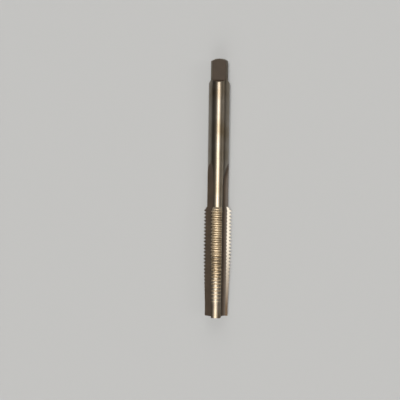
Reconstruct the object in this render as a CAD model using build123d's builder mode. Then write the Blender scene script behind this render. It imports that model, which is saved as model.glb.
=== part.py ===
from build123d import *

import os
from math import acos, cos, degrees, floor, radians, sin, tan

# Straight-flute hand tap, M12 x 1.5: one bar, turned, fluted, thread-ground and squared.
# It lies along Y on two of its three lands, with the tip at -Y, the driving square at +Y
# and the third land straight up. Z = 0 is the surface that it lies on. Millimetres.

# Blank. Distances along the tool are measured from the tip.
OVERALL_LENGTH = 110.0
PILOT_RADIUS = 5.0
PILOT_LENGTH = 5.0
LEAD_LENGTH = 21.0
THREAD_RADIUS = 6.0
THREAD_END = 47.0
SHANK_RADIUS = 4.5

# Thread: ISO metric profile, single start, right-hand.
PITCH = 1.5
THREAD_DEPTH = 0.6134 * PITCH
CREST_FLAT = PITCH / 8
FLANK_ANGLE = 30.0
FIRST_GROOVE = 2.58
GROOVE_ARC = 70.0
GROOVE_OVERSHOOT = 0.15

# Flutes: each has a hollow heel flank, a round root and a hooked cutting face.
FLUTES = 3
LAND_HALF_ANGLE = 22.5
HOOK_ANGLE = 6.0
CORE_RADIUS = 2.5
HEEL_HOLLOW = 0.2
ROOT_RADIUS = 1.2
FLUTE_LENGTH = 55.5
FLUTE_DEPTH_ANGLE = 75.0
CUTTER_RADIUS = 25.0
RUN_OUT_SWEEP = 40.0
CLEARANCE = 2.0

# Driving end: a milled square with sloped shoulders, and a chamfered end face.
SQUARE_ACROSS_FLATS = 7.0
SQUARE_FLAT_LENGTH = 9.1
SHOULDER_LENGTH = 1.1
END_FACE_RADIUS = 2.6
END_CHAMFER_ANGLE = 30.0

# Centre holes, one in each end.
CENTRE_DRILL_RADIUS = 0.8
CENTRE_MOUTH_RADIUS = 1.7
CENTRE_DEPTH = 3.6
CENTRE_CONE_ANGLE = 60.0

# The tool rests on the outer edges of its two lower lands.
LAND_PITCH = 360 / FLUTES
AXIS_HEIGHT = THREAD_RADIUS * cos(radians(LAND_PITCH / 2 - LAND_HALF_ANGLE))
TIP = Vector(0, -OVERALL_LENGTH / 2, AXIS_HEIGHT)
ALONG = Vector(0, 1, 0)
TOOL_AXIS = Axis(TIP, ALONG)

# Cutters are made about the Y axis with the tip at the origin. In their cross-section
# local x is up and local y is +X, so angles count from the top land towards +X.
section_plane = Plane(origin=(0, 0, 0), x_dir=(0, 0, 1), z_dir=ALONG)


def polar(radius, angle):
    return Vector(radius * cos(radians(angle)), radius * sin(radians(angle)))


def turned(angle, distance=0):
    """Place a cutter on the tool: turned about its axis and moved along it from the tip."""
    return Location(TIP + ALONG * distance, (0, angle, 0))


# Flute cutter. The heel flank touches the core circle, and the cutting face leans back
# from the radius by the hook angle; they meet in the round root.
cutting_angle = LAND_PITCH - LAND_HALF_ANGLE
heel_edge = polar(THREAD_RADIUS, LAND_HALF_ANGLE)
cutting_edge = polar(THREAD_RADIUS, cutting_angle)
core_normal = polar(1, LAND_HALF_ANGLE + degrees(acos(CORE_RADIUS / THREAD_RADIUS)))
hook_direction = polar(1, cutting_angle - HOOK_ANGLE)
hook_run = (CORE_RADIUS - cutting_edge.dot(core_normal)) / hook_direction.dot(core_normal)
root_corner = cutting_edge + hook_direction * hook_run
heel_middle = (heel_edge + root_corner) / 2 - core_normal * HEEL_HOLLOW
heel_outside = heel_edge + (heel_edge - root_corner).normalized() * CLEARANCE
cutting_outside = cutting_edge + hook_direction * CLEARANCE

with BuildPart() as flute_cutter:
    flute_end = section_plane.offset(FLUTE_LENGTH)
    with BuildSketch(flute_end) as flute_section:
        with BuildLine():
            Line(heel_outside, heel_edge)
            ThreePointArc(heel_edge, heel_middle, root_corner)
            Polyline(
                root_corner,
                cutting_outside,
                polar(2 * THREAD_RADIUS, LAND_PITCH / 2),
                heel_outside,
            )
        make_face()
        root = flute_section.vertices().sort_by_distance(root_corner)[0]
        fillet(root, ROOT_RADIUS)
    extrude(amount=-(FLUTE_LENGTH + CLEARANCE))
    # Run-out: the section leaves the bar round the cutter's own spindle.
    spindle = flute_end.from_local_coords(polar(CORE_RADIUS + CUTTER_RADIUS, FLUTE_DEPTH_ANGLE))
    depth = (spindle - flute_end.origin).normalized()
    revolve(
        flute_section.sketch,
        axis=Axis(spindle, ALONG.cross(depth)),
        revolution_arc=RUN_OUT_SWEEP,
    )

# Thread cutter: one short arc of the helical groove, long enough to cross one land.
root_flat = PITCH - CREST_FLAT - 2 * THREAD_DEPTH * tan(radians(FLANK_ANGLE))
overshoot_width = PITCH - CREST_FLAT + 2 * GROOVE_OVERSHOOT * tan(radians(FLANK_ANGLE))

with BuildPart() as groove_cutter:
    with BuildLine() as groove_path:
        Helix(PITCH, PITCH * GROOVE_ARC / 360, THREAD_RADIUS, direction=ALONG)
    groove_start = groove_path.line @ 0
    groove_plane = Plane(groove_start, x_dir=groove_start, z_dir=groove_path.line % 0)
    with BuildSketch(groove_plane):
        with BuildLine():
            Polyline(
                (-THREAD_DEPTH, -root_flat / 2),
                (-THREAD_DEPTH, root_flat / 2),
                (GROOVE_OVERSHOOT, overshoot_width / 2),
                (GROOVE_OVERSHOOT, -overshoot_width / 2),
                close=True,
            )
        make_face()
    sweep(path=groove_path.line, is_frenet=True)

with BuildPart() as tap:
    # Turned blank: pilot, tapered lead, full thread, back chamfer, shank, end chamfer.
    profile_plane = Plane(origin=TIP, x_dir=ALONG, z_dir=(1, 0, 0))
    back_chamfer = THREAD_RADIUS - SHANK_RADIUS
    end_chamfer = (SHANK_RADIUS - END_FACE_RADIUS) * tan(radians(END_CHAMFER_ANGLE))
    with BuildSketch(profile_plane):
        with BuildLine():
            Polyline(
                (0, 0),
                (0, PILOT_RADIUS),
                (PILOT_LENGTH, PILOT_RADIUS),
                (PILOT_LENGTH + LEAD_LENGTH, THREAD_RADIUS),
                (THREAD_END - back_chamfer, THREAD_RADIUS),
                (THREAD_END, SHANK_RADIUS),
                (OVERALL_LENGTH - end_chamfer, SHANK_RADIUS),
                (OVERALL_LENGTH, END_FACE_RADIUS),
                (OVERALL_LENGTH, 0),
                close=True,
            )
        make_face()
    revolve(axis=TOOL_AXIS)

    # Driving square: four flats, each ending in a shoulder that slopes up to the shank.
    flat_height = SQUARE_ACROSS_FLATS / 2
    shoulder_rise = SHANK_RADIUS - flat_height
    flat_start = OVERALL_LENGTH - SQUARE_FLAT_LENGTH
    with BuildSketch(profile_plane) as flat_section:
        with BuildLine():
            Polyline(
                (flat_start, flat_height),
                (OVERALL_LENGTH + CLEARANCE, flat_height),
                (OVERALL_LENGTH + CLEARANCE, flat_height + 2 * shoulder_rise),
                (flat_start - 2 * SHOULDER_LENGTH, flat_height + 2 * shoulder_rise),
                close=True,
            )
        make_face()
    flat_cutter = extrude(amount=SHANK_RADIUS, both=True, mode=Mode.PRIVATE)
    for quarter in range(4):
        add(flat_cutter.rotate(TOOL_AXIS, 90 * quarter), mode=Mode.SUBTRACT)

    # Centre holes.
    tip_face = Plane(TIP, z_dir=-ALONG)
    end_face = Plane(TIP + ALONG * OVERALL_LENGTH, z_dir=ALONG)
    with Locations(tip_face, end_face):
        CounterSinkHole(
            CENTRE_DRILL_RADIUS, CENTRE_MOUTH_RADIUS, CENTRE_DEPTH, CENTRE_CONE_ANGLE
        )

    # Flutes.
    with Locations(*[turned(LAND_PITCH * flute) for flute in range(FLUTES)]):
        add(flute_cutter.part, mode=Mode.SUBTRACT)

    # Thread: the helix crosses the lands in turn, a third of a pitch apart.
    crossings = []
    for crossing in range(floor(FLUTES * THREAD_END / PITCH)):
        start_angle = LAND_PITCH * crossing - GROOVE_ARC / 2
        distance = FIRST_GROOVE + PITCH * start_angle / 360
        crossings.append(turned(start_angle, distance))
    with Locations(*crossings):
        add(groove_cutter.part, mode=Mode.SUBTRACT)

tap.part.label = "tap"
os.makedirs("parts", exist_ok=True)
export_step(tap.part, "parts/tap.step")
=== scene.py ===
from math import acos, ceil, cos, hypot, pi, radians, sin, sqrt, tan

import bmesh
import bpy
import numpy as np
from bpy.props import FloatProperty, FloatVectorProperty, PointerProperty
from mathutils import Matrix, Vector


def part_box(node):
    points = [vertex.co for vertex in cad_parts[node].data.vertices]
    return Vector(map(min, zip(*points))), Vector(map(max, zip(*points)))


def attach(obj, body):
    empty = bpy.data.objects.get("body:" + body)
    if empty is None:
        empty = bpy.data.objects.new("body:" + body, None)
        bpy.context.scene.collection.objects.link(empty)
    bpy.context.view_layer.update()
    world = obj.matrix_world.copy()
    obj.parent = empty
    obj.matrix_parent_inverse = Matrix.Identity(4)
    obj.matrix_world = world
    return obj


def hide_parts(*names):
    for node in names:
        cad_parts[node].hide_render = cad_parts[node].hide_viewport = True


bl_info = {
    "name": "Straight-Flute Hand Tap",
    "version": (1, 0, 0),
    "blender": (4, 5, 0),
    "location": "View3D > Sidebar > Tap",
    "description": "Builds a ground hand tap over its construction model, on a pale floor",
    "category": "Object",
}

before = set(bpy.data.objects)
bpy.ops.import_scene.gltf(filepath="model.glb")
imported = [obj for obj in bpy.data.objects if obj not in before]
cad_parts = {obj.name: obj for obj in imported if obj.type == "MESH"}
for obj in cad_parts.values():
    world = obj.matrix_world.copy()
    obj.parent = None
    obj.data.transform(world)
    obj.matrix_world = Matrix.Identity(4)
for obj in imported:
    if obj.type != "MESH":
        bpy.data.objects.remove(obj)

# The construction model's box gives the tap's length and where its tip is.
CAD_LOW, CAD_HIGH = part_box("tap")
MM = 0.001
FULL_TURN = 2 * pi


def linear(hex_colour):
    """An sRGB hex colour as linear RGBA."""
    channels = [int(hex_colour[i : i + 2], 16) / 255 for i in (1, 3, 5)]
    return [c / 12.92 if c <= 0.04045 else ((c + 0.055) / 1.055) ** 2.4 for c in channels] + [1.0]


# ---------------------------------------------------------------- sizes and colours


def length(name, description, millimetres):
    return FloatProperty(
        name=name, description=description, default=millimetres * MM, unit="LENGTH", precision=5
    )


def angle(name, description, degrees):
    return FloatProperty(
        name=name, description=description, default=radians(degrees), unit="ROTATION"
    )


def colour(name, description, hex_colour):
    return FloatVectorProperty(
        name=name, description=description, default=linear(hex_colour), size=4, subtype="COLOR"
    )


def strength(name, watts):
    return FloatProperty(
        name=name, description="Watts on each square metre that faces the lamp", default=watts
    )


class TapSizes(bpy.types.PropertyGroup):
    """Sizes of the tap. Distances along it are measured from the tip."""

    overall: length("Overall length", "Tip to driving end", (CAD_HIGH.y - CAD_LOW.y) / MM)
    pilot_radius: length("Pilot radius", "Plain pilot at the tip", 5.0)
    pilot: length("Pilot length", "Plain pilot at the tip", 5.0)
    lead: length("Lead length", "Tapered lead behind the pilot", 21.0)
    thread_radius: length("Thread radius", "Half the major diameter", 6.0)
    thread_end: length("Thread end", "Where the back chamfer meets the shank", 47.0)
    shank_radius: length("Shank radius", "Plain round shank", 4.5)
    pitch: length("Pitch", "Thread pitch", 1.5)
    first_groove: length("First groove", "Groove centre on the top land nearest the tip", 2.58)
    land_half_angle: angle("Land half angle", "Half the width of a land", 22.5)
    relief_angle: angle("Relief", "Backing off of each threaded land behind its cutting edge", 1.5)
    hook_angle: angle("Hook angle", "How far a cutting face leans back", 6.0)
    core_radius: length("Core radius", "Depth of the flutes", 2.5)
    heel_hollow: length("Heel hollow", "Hollow of the heel flank", 0.2)
    root_radius: length("Root radius", "Round root of a flute", 1.2)
    flute_length: length("Flute length", "Where the flutes begin to run out", 55.5)
    cutter_radius: length("Cutter radius", "Radius of the run-out", 25.0)
    flute_depth_angle: angle("Depth angle", "Direction that the flute cutter came from", 75.0)
    across_flats: length("Across flats", "Driving square", 7.0)
    flat_length: length("Flat length", "Length of the square's flats", 9.1)
    shoulder: length("Shoulder length", "Sloped shoulder behind each flat", 1.1)
    end_face_radius: length("End face radius", "Flat of the driving end", 2.6)
    end_chamfer_angle: angle("End chamfer angle", "Slope of the driving end's chamfer", 30.0)
    centre_mouth_radius: length("Centre mouth radius", "Mouth of a centre hole", 1.7)
    centre_drill_radius: length("Centre drill radius", "Bottom of a centre hole", 0.8)
    centre_depth: length("Centre depth", "Depth of a centre hole", 3.6)


class TapFinish(bpy.types.PropertyGroup):
    """Colours of the tap's surfaces."""

    ground: colour("Ground steel", "Shank and lead", "#8c867c")
    tint: colour("Heat tint", "Bronze patches on ground steel", "#786b57")
    thread: colour("Thread", "Ground flanks and crests", "#b9ad98")
    flute: colour("Flute", "Brown oxide in the milled flutes", "#4b4035")
    cutting_face: colour("Cutting face", "Ground cutting faces", "#9a9790")
    square: colour("Square", "Brown oxide on the milled square", "#3b2e21")


class StageSettings(bpy.types.PropertyGroup):
    """Floor, lamps and camera."""

    floor: colour("Floor", "Colour of the floor", "#bbc1c8")
    floor_size: length("Floor size", "Side of the floor", 6000.0)
    horizon: colour("Horizon", "Pale low backdrop, as light as the lit floor", "#c2c2c0")
    room: colour("Room", "Dim room over the backdrop", "#393532")
    lamp_colour: colour("Lamp colour", "Slightly warm light of every lamp", "#fff7ec")
    main_lean: angle("Main lamp lean", "From straight up, to the left", 0.4)
    main_dip: angle("Main lamp dip", "From straight up, towards the tip", 1.9)
    main_spread: angle("Main lamp spread", "How wide the lamp looks from the tap", 16.0)
    main_strength: strength("Main lamp strength", 2.45)
    side_lean: angle("Side lamp lean", "From straight up, to the right", 50.0)
    side_spread: angle("Side lamp spread", "How wide the lamp looks from the tap", 17.0)
    side_strength: strength("Side lamp strength", 0.2)
    end_lean: angle("End lamp lean", "From straight up, towards each end of the tap", 55.0)
    end_spread: angle("End lamp spread", "How wide the lamp looks from the tap", 45.0)
    end_strength: strength("End lamp strength", 0.6)
    camera_height: length("Camera height", "Above the tap's axis", 258.0)
    camera_side: length("Camera side", "To the right of the tap's axis", 15.7)
    camera_back: length("Camera back", "Along the tap, from its middle", -1.0)
    aim_side: length("Aim side", "Point at the picture's middle, across the tap", -7.64)
    aim_back: length("Aim back", "Point at the picture's middle, along the tap", -5.16)
    roll: angle("Roll", "Turn of the camera about its view", 0.84)
    lens: FloatProperty(name="Lens", description="Focal length, mm", default=54.1)


# ---------------------------------------------------------------- cross-section

# Steps round the section: each third is a land, then a flute's heel, root and cutting face.
FLUTES = 3
LAND_STEPS = 16
HEEL_STEPS = 7
ROOT_STEPS = 6
FACE_STEPS = 7
FLUTE_STEPS = HEEL_STEPS + ROOT_STEPS + FACE_STEPS
THIRD = LAND_STEPS + FLUTE_STEPS
SECTION_STEPS = FLUTES * THIRD

# Steps of the cutting face next to the root that keep the flute's oxide.
UNGROUND_STEPS = 2

# Where a third's land, heel, root and cutting face begin round the tip's centre hole, and its end.
HUB_SHARES = (0, 0.07, 0.52, 0.97, 1)

# Steps round the driving square: each quarter is half a flat, a round corner and half a flat.
QUARTER = SECTION_STEPS // 4
FLAT_STEPS = 10

# The step at the middle of the top flat.
FIRST_FLAT = LAND_STEPS // 2 - 1

# Half the angle that a flat's points keep where the flat has no width yet.
LEAST_FLAT = radians(2)

# Half the angle that a flute's points keep in the round ring just past its end.
CLOSED_FLUTE = radians(1)

# How evenly the last row of the run-out spreads a flute's points.
RUN_OUT_EVENNESS = 0.6

# How closely the end of the run-out is found.
RUN_OUT_TOLERANCE = 0.001 * MM

# Rows along the stretches behind the thread.
FLUTED_SHANK_ROWS = 8
RUN_OUT_ROWS = 40
AFTER_RUN_OUT_ROWS = 9
SHANK_ROWS = 9
BEFORE_SHOULDER_ROWS = 6
SHOULDER_ROWS = 8
FLAT_ROWS = 4
END_CHAMFER_ROWS = 11

# Stretches of round shank where the points of the rings even out, and gather for the square.
AFTER_RUN_OUT = 4 * MM
BEFORE_SHOULDER = 3 * MM

# ISO metric thread profile, as shares of the pitch.
CREST_SHARE = 1 / 8
DEPTH_SHARE = 0.6134
FLANK_ANGLE = radians(30)
ROWS_PER_PITCH = 24

# Points of the flute's profile for each of its steps.
FINENESS = 16

# The full angle of a centre hole's cone.
HOLE_CONE_ANGLE = radians(60)

# Edges that turn more than this are drawn sharp.
SHARP_ANGLE = radians(18)

# Cutting faces turn from the flute's brown to bright between these distances from the tip. This is
# painted shade that stands in for their highlight fading towards the tip.
PAINTED_FADE_TO_TIP = (4 * MM, 31 * MM)

# The pale backdrop fades into the room between these angles over the horizon.
BACKDROP_EDGES = (radians(4), radians(11))

# How slowly a tool mark varies along itself, as a share of how fast it varies across.
MARK_STRETCH = 0.02
MARK_SEED = 3.0


def polar(radius, turn):
    """A point of the cross-section: first coordinate up, second to the right."""
    return np.array((radius * cos(turn), radius * sin(turn)))


def polar_ring(radius, turns):
    """Points at the given angles, all at one radius or each at its own."""
    return np.stack((radius * np.cos(turns), radius * np.sin(turns)), axis=1)


def turned(points, turn):
    """The points, turned about the axis from up towards the right."""
    return points @ np.array(((cos(turn), sin(turn)), (-sin(turn), cos(turn))))


def distance_between(a, b):
    return hypot(*(a - b))


def arc(centre, start, end, steps):
    """Points from start to end along the shorter arc about a centre."""
    first = np.arctan2(start[1] - centre[1], start[0] - centre[0])
    last = np.arctan2(end[1] - centre[1], end[0] - centre[0])
    last += FULL_TURN * round((first - last) / FULL_TURN)
    return centre + polar_ring(distance_between(start, centre), np.linspace(first, last, steps + 1))


def flute_profile(sizes):
    """Full-depth section of the flute right of the top land, from heel edge to cutting edge."""
    cutting_turn = FULL_TURN / FLUTES - sizes.land_half_angle
    heel_edge = polar(sizes.thread_radius, sizes.land_half_angle)
    cutting_edge = polar(sizes.thread_radius, cutting_turn)
    depth_turn = sizes.land_half_angle + acos(sizes.core_radius / sizes.thread_radius)
    outward = polar(1, depth_turn)
    hook = polar(1, cutting_turn - sizes.hook_angle)
    hook_run = (sizes.core_radius - cutting_edge @ outward) / (hook @ outward)
    corner = cutting_edge + hook * hook_run

    # The heel flank is a shallow arc, with its centre out in the open flute.
    chord = distance_between(heel_edge, corner)
    heel_radius = chord**2 / (8 * sizes.heel_hollow) + sizes.heel_hollow / 2
    heel_centre = (heel_edge + corner) / 2 + outward * (heel_radius - sizes.heel_hollow)

    # The root's centre is one root radius from the heel flank and from the cutting face.
    into_flute = np.array((hook[1], -hook[0]))
    foot = cutting_edge + into_flute * sizes.root_radius
    run = hook @ (heel_centre - foot)
    aside = distance_between(heel_centre, foot + hook * run)
    root_centre = foot + hook * (run - sqrt((heel_radius - sizes.root_radius) ** 2 - aside**2))
    face_start = root_centre - into_flute * sizes.root_radius
    root_start = heel_centre + (root_centre - heel_centre) * (
        heel_radius / (heel_radius - sizes.root_radius)
    )

    heel = arc(heel_centre, heel_edge, root_start, HEEL_STEPS * FINENESS)
    root = arc(root_centre, root_start, face_start, ROOT_STEPS * FINENESS)
    face = np.linspace(face_start, cutting_edge, FACE_STEPS * FINENESS + 1)
    return np.concatenate((heel, root[1:], face[1:]))


def run_out(profile, sizes, beyond):
    """The flute's section past its full-depth stretch, where it leaves the bar round the cutter."""
    depth_way = polar(1, sizes.flute_depth_angle)
    spindle = sizes.core_radius + sizes.cutter_radius
    height = profile @ depth_way
    aside = profile - np.outer(height, depth_way)
    lifted = spindle - np.sqrt(np.maximum((spindle - height) ** 2 - beyond**2, 0))
    return aside + np.outer(lifted, depth_way)


def crossing(radii, radius, order):
    """Where a profile first dips inside a radius, walking it in the given order."""
    inside = np.nonzero(radii[order] < radius)[0]
    if inside[0] == 0:
        return float(order[0])
    outer = order[inside[0] - 1]
    inner = order[inside[0]]
    return outer + (inner - outer) * (radii[outer] - radius) / (radii[outer] - radii[inner])


def fluted_ring(profile, radius, evenness=0.0, heel_drop=0.0):
    """One closed ring of the fluted stretch, with each land's heel dropped by its relief.

    Evenness 0 keeps the flute's points to its heel, root and face. 1 spreads them evenly.
    """
    radii = np.hypot(profile[:, 0], profile[:, 1])
    order = np.arange(len(profile))
    first = crossing(radii, radius - heel_drop, order)
    last = crossing(radii, radius, order[::-1])
    root_start = np.clip(HEEL_STEPS * FINENESS, first, last)
    face_start = np.clip((HEEL_STEPS + ROOT_STEPS) * FINENESS, first, last)
    knots = (0, HEEL_STEPS, HEEL_STEPS + ROOT_STEPS, FLUTE_STEPS)
    steps = np.arange(FLUTE_STEPS + 1)
    by_part = np.interp(steps, knots, (first, root_start, face_start, last))
    even = np.linspace(first, last, FLUTE_STEPS + 1)
    at = by_part * (1 - evenness) + even * evenness
    flute = np.stack([np.interp(at, order, profile[:, i]) for i in (0, 1)], axis=1)
    heel_turn = np.arctan2(flute[0, 1], flute[0, 0])
    face_turn = np.arctan2(flute[-1, 1], flute[-1, 0]) - FULL_TURN / FLUTES
    land_radii = np.linspace(radius, radius - heel_drop, LAND_STEPS + 1)
    land = polar_ring(land_radii, np.linspace(face_turn, heel_turn, LAND_STEPS + 1))
    third = np.concatenate((land[:-1], flute[:-1]))
    return np.concatenate([turned(third, FULL_TURN * k / FLUTES) for k in range(FLUTES)])


def hub_ring(radius):
    """A round ring inside the tip, whose points face those of a fluted ring without crossing."""
    third_turn = FULL_TURN / FLUTES
    knots = (0, LAND_STEPS, LAND_STEPS + HEEL_STEPS, THIRD - FACE_STEPS, THIRD)
    third = np.interp(np.arange(THIRD), knots, HUB_SHARES) * third_turn
    return polar_ring(radius, np.concatenate([third + third_turn * k for k in range(FLUTES)]))


def even_turns(sizes):
    """Evenly spaced angles round a ring."""
    return np.arange(SECTION_STEPS) * FULL_TURN / SECTION_STEPS - sizes.land_half_angle


def square_turns(radius, flat_height):
    """Angles round the driving end: four flats, and round corners between them."""
    half_flat = max(LEAST_FLAT, acos(min(1.0, flat_height / radius)))
    knots = []
    turns = []

    # One flat more before the first and after the last closes the ring.
    for flat in range(-1, 5):
        middle = FIRST_FLAT + flat * QUARTER
        knots += [middle - FLAT_STEPS / 2, middle + FLAT_STEPS / 2]
        turns += [flat * pi / 2 - half_flat, flat * pi / 2 + half_flat]
    return np.interp(np.arange(SECTION_STEPS), knots, turns)


def square_ring(radius, flat_height):
    """A ring of the driving end."""
    turns = square_turns(radius, flat_height)
    from_flat = (turns + pi / 4) % (pi / 2) - pi / 4
    return polar_ring(np.minimum(radius, flat_height / np.cos(from_flat)), turns)


def blank_radius(sizes, distance):
    """Radius of the turned blank at a distance from the tip."""
    back_chamfer = sizes.thread_radius - sizes.shank_radius
    outline = (
        (0, sizes.pilot_radius),
        (sizes.pilot, sizes.pilot_radius),
        (sizes.pilot + sizes.lead, sizes.thread_radius),
        (sizes.thread_end - back_chamfer, sizes.thread_radius),
        (sizes.thread_end, sizes.shank_radius),
        (sizes.overall - end_chamfer(sizes), sizes.shank_radius),
        (sizes.overall, sizes.end_face_radius),
    )
    distances, radii = zip(*outline)
    return float(np.interp(distance, distances, radii))


def end_chamfer(sizes):
    """Length of the driving end's chamfer."""
    return (sizes.shank_radius - sizes.end_face_radius) * tan(sizes.end_chamfer_angle)


def thread_radius(sizes, distance):
    """Radius of the thread's roots and flanks on the top land, at a distance from the tip."""
    depth = DEPTH_SHARE * sizes.pitch
    half_root = sizes.pitch * (1 - CREST_SHARE) / 2 - depth * tan(FLANK_ANGLE)
    turns = (distance - sizes.first_groove) / sizes.pitch
    from_groove = abs(turns - round(turns)) * sizes.pitch
    return sizes.thread_radius - depth + max(0.0, from_groove - half_root) / tan(FLANK_ANGLE)


# ---------------------------------------------------------------- mesh

SURFACES = ("ground", "thread", "flute", "cutting_face", "square")

# A row is its distance from the tip, its ring, how fully it follows the helix (0 to 1), and the
# surface of each step from it to the next row.


def fluted_surfaces(land, flute, face):
    """The surface of each step round a fluted ring."""
    dull_steps = HEEL_STEPS + ROOT_STEPS + UNGROUND_STEPS
    parts = ((land, LAND_STEPS), (flute, dull_steps), (face, FLUTE_STEPS - dull_steps))
    third = [SURFACES.index(name) for name, steps in parts for _ in range(steps)]
    return third * FLUTES


def square_surfaces():
    """The surface of each step round the driving square."""
    surfaces = []
    for step in range(SECTION_STEPS):
        on_flat = (step - FIRST_FLAT + FLAT_STEPS // 2) % QUARTER < FLAT_STEPS
        surfaces.append(SURFACES.index("square" if on_flat else "ground"))
    return surfaces


def all_of(name):
    """One surface all round a ring."""
    return [SURFACES.index(name)] * SECTION_STEPS


def centre_hole(sizes, face_distance, inward, ring_of):
    """Rings of a centre hole, from its bottom out to its mouth."""
    slope = tan(HOLE_CONE_ANGLE / 2)
    cone = (sizes.centre_mouth_radius - sizes.centre_drill_radius) / slope
    bore = ring_of(sizes.centre_drill_radius)
    return [
        (face_distance + inward * sizes.centre_depth, bore, 0, all_of("flute")),
        (face_distance + inward * cone, bore, 0, all_of("flute")),
        (face_distance, ring_of(sizes.centre_mouth_radius), 0, all_of("flute")),
    ]


def threaded_rows(sizes, profile):
    """The pilot, lead and full thread. Rows follow the helix, so each keeps one thread height."""
    step = sizes.pitch / ROWS_PER_PITCH
    first = sizes.first_groove + step / 2
    count = ceil((sizes.thread_end - first) / step)
    past_pilot = [first + i * step for i in range(count) if first + i * step > sizes.pilot]
    stations = [0.0, sizes.pilot / 2] + past_pilot + [sizes.thread_end]
    rows = []
    for distance in stations:
        blank = blank_radius(sizes, distance)
        radius = min(blank, thread_radius(sizes, distance))
        lead_ground = radius == blank and distance < sizes.pilot + sizes.lead
        surfaces = fluted_surfaces("ground" if lead_ground else "thread", "flute", "cutting_face")
        if distance < sizes.pilot:
            radius = sizes.pilot_radius
        helix = min(1.0, distance / sizes.pilot, (sizes.thread_end - distance) / sizes.pitch)
        ring = fluted_ring(profile, radius, heel_drop=radius * relief(sizes, distance))
        rows.append((distance, ring, helix, surfaces))
    rows[-1] = (sizes.thread_end, rows[-1][1], 0, fluted_surfaces("ground", "flute", "flute"))
    return rows


def relief(sizes, distance):
    """How far each land's heel drops, as a share of the radius. It fades at the thread's end."""
    fade = min(1.0, (sizes.thread_end - distance) / sizes.pitch)
    return tan(sizes.relief_angle) * 2 * sizes.land_half_angle * fade


def fluted_shank_rows(sizes, profile):
    """The shank with full-depth flutes, then their run-out."""
    surfaces = fluted_surfaces("ground", "flute", "flute")
    rows = []
    for distance in np.linspace(sizes.thread_end, sizes.flute_length, FLUTED_SHANK_ROWS + 1)[1:]:
        rows.append((distance, fluted_ring(profile, sizes.shank_radius), 0, surfaces))
    tip, tip_turn = run_out_tip(profile, sizes)
    for share in np.linspace(0, 1, RUN_OUT_ROWS + 1)[1:-1]:
        beyond = tip * share
        section = run_out(profile, sizes, beyond)
        ring = fluted_ring(section, sizes.shank_radius, RUN_OUT_EVENNESS * share)
        rows.append((sizes.flute_length + beyond, ring, 0, surfaces))
    tip_turns = closed_turns(tip_turn)
    even = even_turns(sizes)
    for share in np.linspace(0, 1, AFTER_RUN_OUT_ROWS + 1):
        distance = sizes.flute_length + tip + share * AFTER_RUN_OUT
        ring = polar_ring(sizes.shank_radius, tip_turns * (1 - share) + even * share)
        rows.append((distance, ring, 0, all_of("ground")))
    return rows


def run_out_tip(profile, sizes):
    """How far past its full-depth stretch a flute ends, and at what angle."""
    low, high = 0.0, sizes.cutter_radius
    while high - low > RUN_OUT_TOLERANCE:
        middle = (low + high) / 2
        radii = np.hypot(*run_out(profile, sizes, middle).T)
        low, high = (middle, high) if radii.min() < sizes.shank_radius else (low, middle)
    tip_section = run_out(profile, sizes, low)
    deepest = tip_section[np.argmin(np.hypot(*tip_section.T))]
    return low, np.arctan2(deepest[1], deepest[0])


def closed_turns(tip_turn):
    """Angles of a round ring just past the flutes, whose flute points are close together."""
    third_turn = FULL_TURN / FLUTES
    flute_start = tip_turn - CLOSED_FLUTE
    land_start = tip_turn - third_turn + CLOSED_FLUTE
    land = np.linspace(land_start, flute_start, LAND_STEPS + 1)
    flute = np.linspace(flute_start, tip_turn + CLOSED_FLUTE, FLUTE_STEPS + 1)
    third = np.concatenate((land[:-1], flute[:-1]))
    return np.concatenate([third + third_turn * k for k in range(FLUTES)])


def driving_end_rows(sizes, start):
    """The round shank, the driving square and the end chamfer."""
    half_flats = sizes.across_flats / 2
    flat_start = sizes.overall - sizes.flat_length
    shoulder_start = flat_start - sizes.shoulder
    chamfer_start = sizes.overall - end_chamfer(sizes)
    rows = []
    even = even_turns(sizes)
    for distance in np.linspace(start, shoulder_start - BEFORE_SHOULDER, SHANK_ROWS + 1)[1:]:
        rows.append((distance, polar_ring(sizes.shank_radius, even), 0, all_of("ground")))
    square = square_turns(sizes.shank_radius, sizes.shank_radius)
    for share in np.linspace(0, 1, BEFORE_SHOULDER_ROWS + 1)[1:-1]:
        distance = shoulder_start - (1 - share) * BEFORE_SHOULDER
        ring = polar_ring(sizes.shank_radius, even * (1 - share) + square * share)
        rows.append((distance, ring, 0, all_of("ground")))
    for distance in np.linspace(shoulder_start, flat_start, SHOULDER_ROWS + 1):
        share = (flat_start - distance) / sizes.shoulder
        height = half_flats + share * (sizes.shank_radius - half_flats)
        rows.append((distance, square_ring(sizes.shank_radius, height), 0, square_surfaces()))
    for distance in np.linspace(flat_start, chamfer_start, FLAT_ROWS + 1)[1:]:
        ring = square_ring(sizes.shank_radius, half_flats)
        rows.append((distance, ring, 0, square_surfaces()))
    for distance in np.linspace(chamfer_start, sizes.overall, END_CHAMFER_ROWS + 1)[1:]:
        ring = square_ring(blank_radius(sizes, distance), half_flats)
        rows.append((distance, ring, 0, square_surfaces()))
    return rows


def tap_rows(sizes):
    """Rings from the bottom of the tip's centre hole to the bottom of the driving end's."""
    profile = flute_profile(sizes)
    rows = centre_hole(sizes, 0.0, 1, hub_ring)
    rows += threaded_rows(sizes, profile)
    rows += fluted_shank_rows(sizes, profile)
    rows += driving_end_rows(sizes, rows[-1][0])
    end_ring = rows[-1][1]
    end_turns = np.arctan2(end_ring[:, 1], end_ring[:, 0])
    end_hole = centre_hole(sizes, sizes.overall, -1, lambda radius: polar_ring(radius, end_turns))
    return rows + end_hole[::-1]


def helix_climb(sizes):
    """How far a right-hand helix climbs along each land, in turns. It falls back across a flute."""
    land = np.linspace(-1, 1, LAND_STEPS + 1)[:-1]
    flute = np.linspace(1, -1, FLUTE_STEPS + 1)[:-1]
    return np.tile(np.concatenate((land, flute)), FLUTES) * sizes.land_half_angle / FULL_TURN


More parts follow.
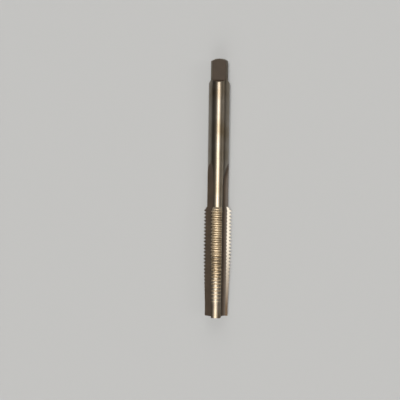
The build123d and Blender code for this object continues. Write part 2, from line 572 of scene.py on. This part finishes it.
def tap_mesh(sizes):
    """The tap's mesh, with its tip at the origin and its axis along Y."""
    rows = tap_rows(sizes)
    climb = helix_climb(sizes) * sizes.pitch
    rings = []
    around = []
    for distance, ring, helix, _ in rows:
        rings.append(np.stack((ring[:, 1], distance + climb * helix, ring[:, 0]), axis=1))
        turns = np.unwrap(np.arctan2(ring[:, 1], ring[:, 0])) / FULL_TURN
        around.append([*turns, turns[0] + 1])
    steps = [np.linalg.norm(b - a, axis=1).mean() for a, b in zip(rings, rings[1:])]
    travelled = np.concatenate(([0.0], np.cumsum(steps)))
    holes = [(0, rows[0][0], 0), (0, rows[-1][0], 0)]
    points = np.concatenate(rings + [holes])

    # Corners are (row, step) pairs. The last step of a ring ends at its first point.
    faces = []
    surfaces = []
    uvs = []
    tip_hole = len(rows) * SECTION_STEPS
    last_row = len(rows) - 1
    last_ring = last_row * SECTION_STEPS
    for row in range(last_row):
        for step in range(SECTION_STEPS):
            corners = ((row, step), (row, step + 1), (row + 1, step + 1), (row + 1, step))
            faces.append([r * SECTION_STEPS + c % SECTION_STEPS for r, c in corners])
            uvs += [(travelled[r], around[r][c]) for r, c in corners]
            surfaces.append(rows[row][3][step])

    # Each hole's bottom is a fan of triangles, too deep in the dark to need more than a line of UV.
    for step in range(SECTION_STEPS):
        following = (step + 1) % SECTION_STEPS
        faces.append([tip_hole, following, step])
        faces.append([tip_hole + 1, last_ring + step, last_ring + following])
        for end in (0, last_row):
            uvs += [(travelled[end] + inwards, around[end][step]) for inwards in (MM, 0, 0)]
            surfaces.append(SURFACES.index("flute"))

    mesh = bpy.data.meshes.new("tap_body")
    mesh.from_pydata(points.tolist(), [], faces)
    mesh.uv_layers.new(name="along_and_around").data.foreach_set("uv", np.ravel(uvs))
    mesh.polygons.foreach_set("material_index", surfaces)
    mesh.shade_smooth()
    mesh.set_sharp_from_angle(angle=SHARP_ANGLE)
    sharpen_borders(mesh)
    return mesh


def sharpen_borders(mesh):
    """Mark the edges between two surfaces sharp, however flat they meet."""
    shape = bmesh.new()
    shape.from_mesh(mesh)
    for edge in shape.edges:
        if len({face.material_index for face in edge.link_faces}) > 1:
            edge.smooth = False
    shape.to_mesh(mesh)
    shape.free()


# ---------------------------------------------------------------- materials


def add_node(tree, kind, settings=(), links=()):
    """Add a node, set its properties and sockets, and link other nodes' outputs to its inputs."""
    node = tree.nodes.new(kind)
    for name, value in dict(settings).items():
        if name in node.inputs:
            node.inputs[name].default_value = value
        else:
            setattr(node, name, value)
    for name, output in dict(links).items():
        tree.links.new(output, node.inputs[name])
    return node


def start_material(name):
    """An empty material: its node tree and its output node."""
    material = bpy.data.materials.new(name)
    material.use_nodes = True
    material.node_tree.nodes.clear()
    output = add_node(material.node_tree, "ShaderNodeOutputMaterial")
    return material, material.node_tree, output


def marks(tree, spacing, way):
    """Fine parallel marks: noise stretched along every axis but one. Spacing in metres."""
    place = add_node(tree, "ShaderNodeTexCoord")
    stretch = [1 / spacing if axis == way else MARK_STRETCH / spacing for axis in "XYZ"]
    mapping = add_node(
        tree,
        "ShaderNodeMapping",
        {"Scale": stretch, "Location": (MARK_SEED, MARK_SEED, MARK_SEED)},
        {"Vector": place.outputs["Object"]},
    )
    noise = add_node(
        tree, "ShaderNodeTexNoise", {"Scale": 1.0, "Detail": 3.0}, {"Vector": mapping.outputs[0]}
    )
    return noise.outputs["Fac"]


def patches(tree, size, seed):
    """Soft irregular patches of a given size, in metres."""
    place = add_node(tree, "ShaderNodeTexCoord")
    mapping = add_node(
        tree,
        "ShaderNodeMapping",
        {"Location": (seed, seed, seed)},
        {"Vector": place.outputs["Object"]},
    )
    noise = add_node(
        tree,
        "ShaderNodeTexNoise",
        {"Scale": 1 / size, "Detail": 2.0},
        {"Vector": mapping.outputs[0]},
    )
    return noise.outputs["Fac"]


def darker(shade, share):
    """A linear colour, with its light cut to a share."""
    return [c * share for c in shade[:3]] + [1.0]


def mixed(tree, share, low, high, colour_low, colour_high):
    """A colour that goes from one to another as share goes from low to high."""
    ramp = add_node(tree, "ShaderNodeValToRGB", {}, {"Fac": share})
    ramp.color_ramp.elements[0].position = low
    ramp.color_ramp.elements[0].color = colour_low
    ramp.color_ramp.elements[1].position = high
    ramp.color_ramp.elements[1].color = colour_high
    return ramp.outputs["Color"]


def worked_surface(
    name, colour_of, metallic, roughness, mark_spacing, mark_way, mark_depth, anisotropy=0.0
):
    """Steel, bare or under an oxide film, with tool marks.

    Real marks of this kind are mostly finer. They are drawn as coarse as they need to show.
    """
    material, tree, output = start_material(name)
    groove = marks(tree, mark_spacing, mark_way)
    bump = add_node(
        tree, "ShaderNodeBump", {"Strength": 1.0, "Distance": mark_depth}, {"Height": groove}
    )
    tangent = add_node(
        tree, "ShaderNodeTangent", {"direction_type": "UV_MAP", "uv_map": "along_and_around"}
    )
    shader = add_node(
        tree,
        "ShaderNodeBsdfPrincipled",
        {"Metallic": metallic, "Roughness": roughness, "Anisotropic": anisotropy},
        {
            "Base Color": colour_of(tree),
            "Normal": bump.outputs["Normal"],
            "Tangent": tangent.outputs["Tangent"],
        },
    )
    tree.links.new(shader.outputs["BSDF"], output.inputs["Surface"])
    return material


def ground_steel(finish):
    """Cylindrically ground steel: marks run round the shank and draw a soft shine along it."""

    def colour_of(tree):
        tinted = patches(tree, 9 * MM, seed=1.0)
        return mixed(tree, tinted, 0.4, 0.75, finish.ground, finish.tint)

    return worked_surface(
        "ground_high_speed_steel",
        colour_of,
        metallic=1.0,
        roughness=0.4,
        anisotropy=0.5,
        mark_spacing=0.4 * MM,
        mark_way="Y",
        mark_depth=0.002 * MM,
    )


def thread_ground_steel(finish):
    """Thread-ground steel: paler teeth with a broader shine and a few small heat-tint patches."""

    def colour_of(tree):
        tinted = patches(tree, 3 * MM, seed=5.0)
        return mixed(tree, tinted, 0.45, 0.95, finish.thread, finish.tint)

    return worked_surface(
        "thread_ground_steel",
        colour_of,
        metallic=1.0,
        roughness=0.46,
        mark_spacing=0.3 * MM,
        mark_way="Y",
        mark_depth=0.002 * MM,
    )


def milled_flute(finish):
    """Milled and hardened flutes with brown oxide: a dull surface with marks along the tap."""

    def colour_of(tree):
        stained = patches(tree, 4 * MM, seed=9.0)
        return mixed(tree, stained, 0.3, 0.75, finish.flute, darker(finish.flute, 0.7))

    return worked_surface(
        "milled_oxidised_flute",
        colour_of,
        metallic=0.0,
        roughness=0.55,
        mark_spacing=0.3 * MM,
        mark_way="X",
        mark_depth=0.004 * MM,
    )


def ground_cutting_face(finish):
    """Cutting faces ground after hardening: bare bright steel, with painted shade towards the tip
    that stands in for their fading highlight.
    """

    def colour_of(tree):
        place = add_node(tree, "ShaderNodeTexCoord")
        way = add_node(tree, "ShaderNodeSeparateXYZ", {}, {"Vector": place.outputs["Object"]})
        # Painted shade: darker towards the tip, where the highlight on the faces fades.
        low, high = PAINTED_FADE_TO_TIP
        return mixed(tree, way.outputs["Y"], low, high, finish.flute, finish.cutting_face)

    return worked_surface(
        "ground_cutting_face",
        colour_of,
        metallic=1.0,
        roughness=0.5,
        mark_spacing=0.25 * MM,
        mark_way="Y",
        mark_depth=0.001 * MM,
    )


def milled_square(finish):
    """The milled square with brown oxide: a dull surface with faint marks across each flat."""

    def colour_of(tree):
        stained = patches(tree, 3 * MM, seed=7.0)
        return mixed(tree, stained, 0.3, 0.75, finish.square, darker(finish.square, 0.75))

    return worked_surface(
        "milled_oxidised_square",
        colour_of,
        metallic=0.0,
        roughness=0.65,
        mark_spacing=0.35 * MM,
        mark_way="Y",
        mark_depth=0.003 * MM,
    )


# One for each of the surfaces, in the same order.
MATERIALS = (ground_steel, thread_ground_steel, milled_flute, ground_cutting_face, milled_square)


def pale_floor(stage):
    """A plain matt board."""
    material, tree, output = start_material("matt_painted_board")
    shader = add_node(
        tree, "ShaderNodeBsdfPrincipled", {"Base Color": tuple(stage.floor), "Roughness": 0.9}
    )
    tree.links.new(shader.outputs["BSDF"], output.inputs["Surface"])
    return material


# ---------------------------------------------------------------- operators


class TAP_OT_stage(bpy.types.Operator):
    """Add the floor, the lamps, the room's light and the camera"""

    bl_idname = "tap.stage"
    bl_label = "Stage"

    def execute(self, context):
        stage = context.scene.tap_stage
        sizes = context.scene.tap_sizes
        context.scene.view_settings.view_transform = "Standard"
        add_floor(stage)
        add_lamps(stage)
        add_room(context.scene, stage)
        context.scene.camera = add_camera(stage, axis_height(sizes))
        return {"FINISHED"}


class TAP_OT_body(bpy.types.Operator):
    """Add the finely modelled tap in place of its construction solid"""

    bl_idname = "tap.body"
    bl_label = "Tap"

    def execute(self, context):
        sizes = context.scene.tap_sizes
        finish = context.scene.tap_finish
        tap = bpy.data.objects.new("tap_body", tap_mesh(sizes))
        context.scene.collection.objects.link(tap)
        tap.location = (0, CAD_LOW.y, axis_height(sizes))
        for make in MATERIALS:
            tap.data.materials.append(make(finish))
        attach(tap, "root")
        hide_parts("tap")
        return {"FINISHED"}


def axis_height(sizes):
    """The tap lies on the outer edges of its two lower lands."""
    return CAD_LOW.z + sizes.thread_radius * cos(pi / FLUTES - sizes.land_half_angle)


def add_floor(stage):
    half = stage.floor_size / 2
    mesh = bpy.data.meshes.new("floor")
    corners = [(-half, -half, 0), (half, -half, 0), (half, half, 0), (-half, half, 0)]
    mesh.from_pydata(corners, [], [(0, 1, 2, 3)])
    mesh.materials.append(pale_floor(stage))
    floor = bpy.data.objects.new("floor", mesh)
    bpy.context.scene.collection.objects.link(floor)


def add_lamps(stage):
    """Far lamps: a main one overhead, a dim one to the right, and one past each end of the tap."""
    overhead = (-tan(stage.main_lean), -tan(stage.main_dip), 1)
    add_lamp("main_lamp", overhead, stage.main_spread, stage.main_strength, stage)
    right = (tan(stage.side_lean), 0, 1)
    add_lamp("side_lamp", right, stage.side_spread, stage.side_strength, stage)
    for name, way in (("tip_end_lamp", -1), ("driving_end_lamp", 1)):
        past_end = (0, way * tan(stage.end_lean), 1)
        add_lamp(name, past_end, stage.end_spread, stage.end_strength, stage)


def add_lamp(name, direction, spread, watts, stage):
    """A lamp that lights the whole floor evenly from one direction."""
    light = bpy.data.lights.new(name, "SUN")
    light.angle = spread
    light.energy = watts
    light.color = stage.lamp_colour[:3]
    lamp = bpy.data.objects.new(name, light)
    lamp.location = direction
    lamp.rotation_euler = (-lamp.location).to_track_quat("-Z", "Y").to_euler()
    bpy.context.scene.collection.objects.link(lamp)


def add_room(scene, stage):
    """A dim room over a low pale backdrop, which carries the floor on past its edge."""
    world = bpy.data.worlds.new("room")
    world.use_nodes = True
    tree = world.node_tree
    tree.nodes.clear()
    place = add_node(tree, "ShaderNodeTexCoord")
    way = add_node(tree, "ShaderNodeSeparateXYZ", {}, {"Vector": place.outputs["Generated"]})
    low, high = (sin(edge) for edge in BACKDROP_EDGES)
    colour_here = mixed(tree, way.outputs["Z"], low, high, stage.horizon, stage.room)
    light = add_node(tree, "ShaderNodeBackground", {}, {"Color": colour_here})
    output = add_node(tree, "ShaderNodeOutputWorld")
    tree.links.new(light.outputs["Background"], output.inputs["Surface"])
    scene.world = world


def add_camera(stage, height):
    lens = bpy.data.cameras.new("camera")
    lens.lens = stage.lens
    lens.clip_start = 10 * MM
    camera = bpy.data.objects.new("camera", lens)
    bpy.context.scene.collection.objects.link(camera)
    place = Vector((stage.camera_side, stage.camera_back, height + stage.camera_height))
    forward = (Vector((stage.aim_side, stage.aim_back, height)) - place).normalized()
    right = forward.cross(Vector((0, 1, 0))).normalized()
    level = Matrix((right, right.cross(forward), -forward)).transposed()
    rolled = level @ Matrix.Rotation(stage.roll, 3, "Z")
    camera.matrix_world = Matrix.Translation(place) @ rolled.to_4x4()
    return camera


class TAP_PT_panel(bpy.types.Panel):
    """The tap's pieces"""

    bl_label = "Tap"
    bl_idname = "TAP_PT_panel"
    bl_space_type = "VIEW_3D"
    bl_region_type = "UI"
    bl_category = "Tap"

    def draw(self, context):
        for operator in OPERATORS:
            self.layout.operator(operator.bl_idname)


GROUPS = {"tap_sizes": TapSizes, "tap_finish": TapFinish, "tap_stage": StageSettings}
OPERATORS = (TAP_OT_stage, TAP_OT_body)
CLASSES = tuple(GROUPS.values()) + OPERATORS + (TAP_PT_panel,)


def register():
    for cls in CLASSES:
        bpy.utils.register_class(cls)
    for name, group in GROUPS.items():
        setattr(bpy.types.Scene, name, PointerProperty(type=group))


def unregister():
    for name in GROUPS:
        delattr(bpy.types.Scene, name)
    for cls in reversed(CLASSES):
        bpy.utils.unregister_class(cls)


def main():
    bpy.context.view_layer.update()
    register()
    bpy.ops.tap.stage()
    bpy.ops.tap.body()


if __name__ == "__main__":
    main()
